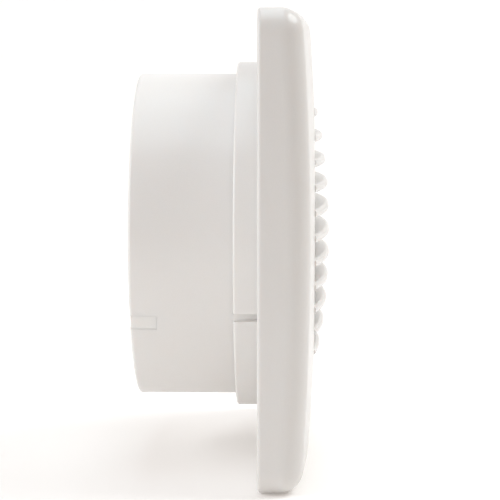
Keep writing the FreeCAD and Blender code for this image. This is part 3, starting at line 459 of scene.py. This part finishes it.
# %% Assign the finishes
FINISHES = {
    "front_cover": satin_white, "duct_tube": duct_white, "step_ring": duct_white, "back_plate": plate_white,
    "motor_carrier": carrier_white, "shutter_frame": shutter_white, "shutter_flap": flap_white,
    "impeller": impeller_white, "terminal_block": terminal_nylon, "coil_bobbins": bobbin_nylon,
    "cable_clamp": clamp_nylon, "cable_grommet": black_rubber, "thrust_washers": red_fibre,
    "live_lead": brown_cover, "neutral_lead": blue_cover, "cover_screw": zinc_plate,
    "cable_clamp_screws": zinc_plate, "terminal_block_screw": zinc_plate, "carrier_screws": zinc_plate,
    "motor_screws": zinc_plate, "terminal_screws": slotted_steel, "motor_shaft": ground_steel,
    "impeller_clip": blued_spring, "front_bearing_bracket": die_cast, "rear_bearing_bracket": die_cast,
    "rotor_end_rings": die_cast, "front_bush": sintered, "rear_bush": sintered,
    "terminal_clamps": turned_brass, "shading_rings": bare_copper, "coil_windings": coil_copper,
    "stator_core": punched_steel, "rotor_core": punched_steel,
}
for part, finish in FINISHES.items():
    for material_slot in nodes[part].material_slots:
        material_slot.material = finish
print("not dressed:", sorted(set(nodes) - set(FINISHES)))

# %% [markdown]
# ## The wound coils
#
# Four coils of enamelled wire sit on the bobbins, wound turn beside turn so that the outside is a row
# of fine rounded ridges that climbs by one wire's width each time round. Every turn could be a tube
# of its own, but hundreds of hidden turns would be wasted. One closed skin with the ridges worked
# into it shows the same thing: a rounded rectangle carried round the bobbin, with ripples whose phase
# slips by one wire in each lap.

# %% Sizes of a coil
POLES = 4
WIRE = 0.00031             # spacing of the turns
RIDGE = 0.00009            # height of a ridge
coil_low, coil_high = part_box("coil_windings")
COIL_OUT = coil_high.x - 0.0001        # outer end of the winding, from the fan's axis
COIL_DEEP = 0.0036         # length of the winding along the pole
COIL_THICK = 0.0014
COIL_INSET = 0.00025       # the winding stays this far inside its space at each end
LOOP_SQUARE = 0.42         # how square the loop is and the bundle of wire: 1 is round, 0 is square
BUNDLE_SQUARE = 0.3
LOOP_ACROSS = 0.0055       # half the loop's width and half its length, to the middle of the winding
LOOP_ALONG = (coil_high.y - coil_low.y) / 2 - COIL_THICK / 2 - COIL_INSET
COIL_MIDDLE = (coil_high.y + coil_low.y) / 2
print("a coil's loop:", round(2000 * LOOP_ACROSS, 1), "by", round(2000 * LOOP_ALONG, 1), "mm")


# %% The skin of one coil
def squared(angle, power):
    """Cosine and sine pulled towards a square: each keeps its sign and is raised to a power under one."""
    c, s = np.cos(angle), np.sin(angle)
    return np.sign(c) * np.abs(c) ** power, np.sign(s) * np.abs(s) ** power


def coil_skin(pole_angle, laps=128, girth=176):
    """Points of one coil. Round the loop a squared ellipse; round the wire bundle a squared ellipse whose
    outward part carries ridges |sin(pi r / wire + lap / 2)|, so they climb one wire in each lap."""
    lap = np.linspace(0, 2 * np.pi, laps, endpoint=False)[:, None]
    around = np.linspace(0, 2 * np.pi, girth, endpoint=False)[None, :]
    loop_c, loop_s = squared(lap, LOOP_SQUARE)
    deep_c, thick_s = squared(around, BUNDLE_SQUARE)
    reach = deep_c * COIL_DEEP / 2
    ridges = RIDGE * (np.abs(np.sin(np.pi * reach / WIRE + lap / 2)) - 0.5)
    out = thick_s * COIL_THICK / 2 + ridges * np.sign(thick_s) * np.abs(thick_s) ** 2
    radial = COIL_OUT - COIL_DEEP / 2 + reach + 0 * lap
    tangent = loop_c * LOOP_ACROSS + out * np.sign(loop_c) * np.abs(loop_c) ** 0.5
    along = COIL_MIDDLE + loop_s * LOOP_ALONG + out * np.sign(loop_s) * np.abs(loop_s) ** 0.5
    cos_a, sin_a = math.cos(pole_angle), math.sin(pole_angle)
    return np.stack([radial * cos_a - tangent * sin_a, along, radial * sin_a + tangent * cos_a], -1)


print("one coil's skin:", coil_skin(0.0).shape)

# %% Join skins into one closed mesh
WELD = 1e-7                # points nearer than this become one


def joined(name, skins, ring=True):
    """One mesh from several closed skins. A ring closes on itself both ways, a turned skin only round, and
    its ends shrink to one point each when points that coincide are welded."""
    parts = [grid_mesh(name, s, wrap_u=ring, wrap_v=True) for s in skins]
    corner_count = np.cumsum([0] + [len(p.vertices) for p in parts])
    points = np.concatenate([s.reshape(-1, 3) for s in skins])
    faces = []
    for shift, part in zip(corner_count, parts):
        corners = np.empty(len(part.polygons) * 4, np.int32)
        part.polygons.foreach_get("vertices", corners)
        faces.append(corners.reshape(-1, 4)[:, ::-1] + shift)   # this order turns the faces outwards
        bpy.data.meshes.remove(part)
    mesh = bpy.data.meshes.new(name)
    mesh.from_pydata(points.tolist(), [], np.concatenate(faces).tolist())
    welded = bmesh.new()
    welded.from_mesh(mesh)
    bmesh.ops.remove_doubles(welded, verts=welded.verts, dist=WELD)
    welded.to_mesh(mesh)
    welded.free()
    mesh.polygons.foreach_set("use_smooth", np.ones(len(mesh.polygons), bool))
    return mesh


def enclosed_mm3(mesh):
    """The volume inside a closed mesh, a third of the sum of centre . normal * area over its faces. It is
    negative when the faces point inwards."""
    return sum(face.center.dot(face.normal) * face.area for face in mesh.polygons) / 3e-9


print("welding points nearer than", WELD, "m")

# %% Wind the coils
pole_angles = [k * 2 * math.pi / POLES for k in range(POLES)]
coils = add("wound_coils", joined("wound_coils", [coil_skin(a) for a in pole_angles]))
coils.data.materials.append(coil_copper)
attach(coils, "fan_body")
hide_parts("coil_windings")
print("coils:", len(coils.data.polygons), "faces, volume", round(enclosed_mm3(coils.data), 1), "mm3")

# %% [markdown]
# ## The screws
#
# Ten pan-head screws hold the fan together. In the frame their shanks are plain, because a thread adds
# thousands of faces to a solid and nothing to how it moves. A boolean cutter could carve the cross
# and the thread, but a screw is nearly a surface of revolution: one profile turned round an axis. The
# thread is a ripple of the radius whose phase turns once per pitch, and the cross is the head's face
# pushed down wherever the point lies in one of its two arms.

# %% Sizes of the screws
PITCH = 0.0008
THREAD_DEPTH = 0.00022
CROSS_DEEP = 0.55          # depth of the cross, of the head's height
CROSS_REACH = 0.62         # length of an arm and half its width, of the head's radius
CROSS_HALF = 0.15
REACH_EDGE = 0.08          # widths of the soft edges at an arm's end and along its sides
SIDE_EDGE = 0.06
RIM_ROUND = 0.14           # radius of the head's rounded rim, of the head's radius
RUN_IN = 0.001             # the thread reaches its full depth over this length
FACE_RINGS = 26
RIM_RINGS = 5
SCREWS = {                 # node: head radius and height, shank radius
    "cover_screw": (0.0028, 0.0016, 0.0013), "cable_clamp_screws": (0.0021, 0.0016, 0.00095),
    "terminal_block_screw": (0.0016, 0.0014, 0.0010), "carrier_screws": (0.00195, 0.0014, 0.00105),
    "motor_screws": (0.0023, 0.0014, 0.00115),
}
print("kinds of screw:", len(SCREWS), "with a pitch of", 1000 * PITCH, "mm")


# %% The skin of one screw
def cross_arm(lengthwise, sideways):
    """One inside an arm of the cross and none outside it, with soft edges half in and half out."""
    return (np.clip((CROSS_REACH - lengthwise) / REACH_EDGE + 0.5, 0, 1)
            * np.clip((CROSS_HALF - sideways) / SIDE_EDGE + 0.5, 0, 1))


def screw_skin(x, z, head_y, tip_y, head_r, head_h, shank_r, sides=72, rows_per_turn=6):
    """Points of one screw along Y. The profile runs over the rounded head, under it, down the shank and
    to the tip. Shank radius = r - depth * (1 - |cos(pi * y / pitch - angle / 2)|), where the depth grows
    from nothing under the head. Face depth = cross depth * the larger of the two arms."""
    angle = np.linspace(0, 2 * np.pi, sides, endpoint=False)[None, :]
    face_r = np.linspace(0.0, 1 - RIM_ROUND, FACE_RINGS) * head_r
    rim = np.linspace(0, np.pi / 2, RIM_RINGS)
    edge = RIM_ROUND * head_r
    rim_r, rim_y = head_r - edge * (1 - np.sin(rim)), edge * (1 - np.cos(rim))
    neck_y = head_y + head_h
    shank_y = np.linspace(neck_y, tip_y - shank_r, int((tip_y - neck_y) / PITCH * rows_per_turn))
    profile_r = np.concatenate([face_r, rim_r, [head_r, shank_r], np.full(len(shank_y), shank_r), [0.0]])
    profile_y = np.concatenate([np.full(FACE_RINGS, head_y), head_y + rim_y, [neck_y, neck_y],
                                shank_y, [tip_y]])
    r, y = profile_r[:, None] + 0 * angle, profile_y[:, None] + 0 * angle
    across, along = np.abs(r * np.cos(angle)) / head_r, np.abs(r * np.sin(angle)) / head_r
    on_face = np.arange(len(profile_r))[:, None] < FACE_RINGS
    cross = np.maximum(cross_arm(across, along), cross_arm(along, across))
    y = y + on_face * CROSS_DEEP * head_h * cross
    turn = (y - neck_y) / PITCH * np.pi - angle / 2
    fade = np.clip((y - neck_y) / RUN_IN, 0, 1) * (profile_r[:, None] == shank_r)
    r = r - fade * THREAD_DEPTH * (1 - np.abs(np.cos(turn)))
    return np.stack([x + r * np.cos(angle), y, z + r * np.sin(angle)], -1)


print("a screw's skin:", screw_skin(0, 0, 0, 0.01, *SCREWS["cover_screw"]).shape)


# %% Turn the screws
def screw_places(low, high, head_r):
    """Middles of a node's screws: the corners of its box, moved in by a head's radius, each once."""
    corners = [(round(x, 5), round(z, 5)) for x in (low.x + head_r, high.x - head_r)
               for z in (low.z + head_r, high.z - head_r)]
    return sorted(set(corners))


for part, (head_r, head_h, shank_r) in SCREWS.items():
    low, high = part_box(part)
    places = screw_places(low, high, head_r)
    screws = add("turned_" + part, joined("turned_" + part, [
        screw_skin(x, z, low.y, high.y, head_r, head_h, shank_r) for x, z in places], ring=False))
    screws.data.materials.append(zinc_plate)
    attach(screws, "fan_body")
    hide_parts(part)
    print(part, len(places), "screws,", len(screws.data.polygons), "faces, volume",
          round(enclosed_mm3(screws.data), 1), "mm3")
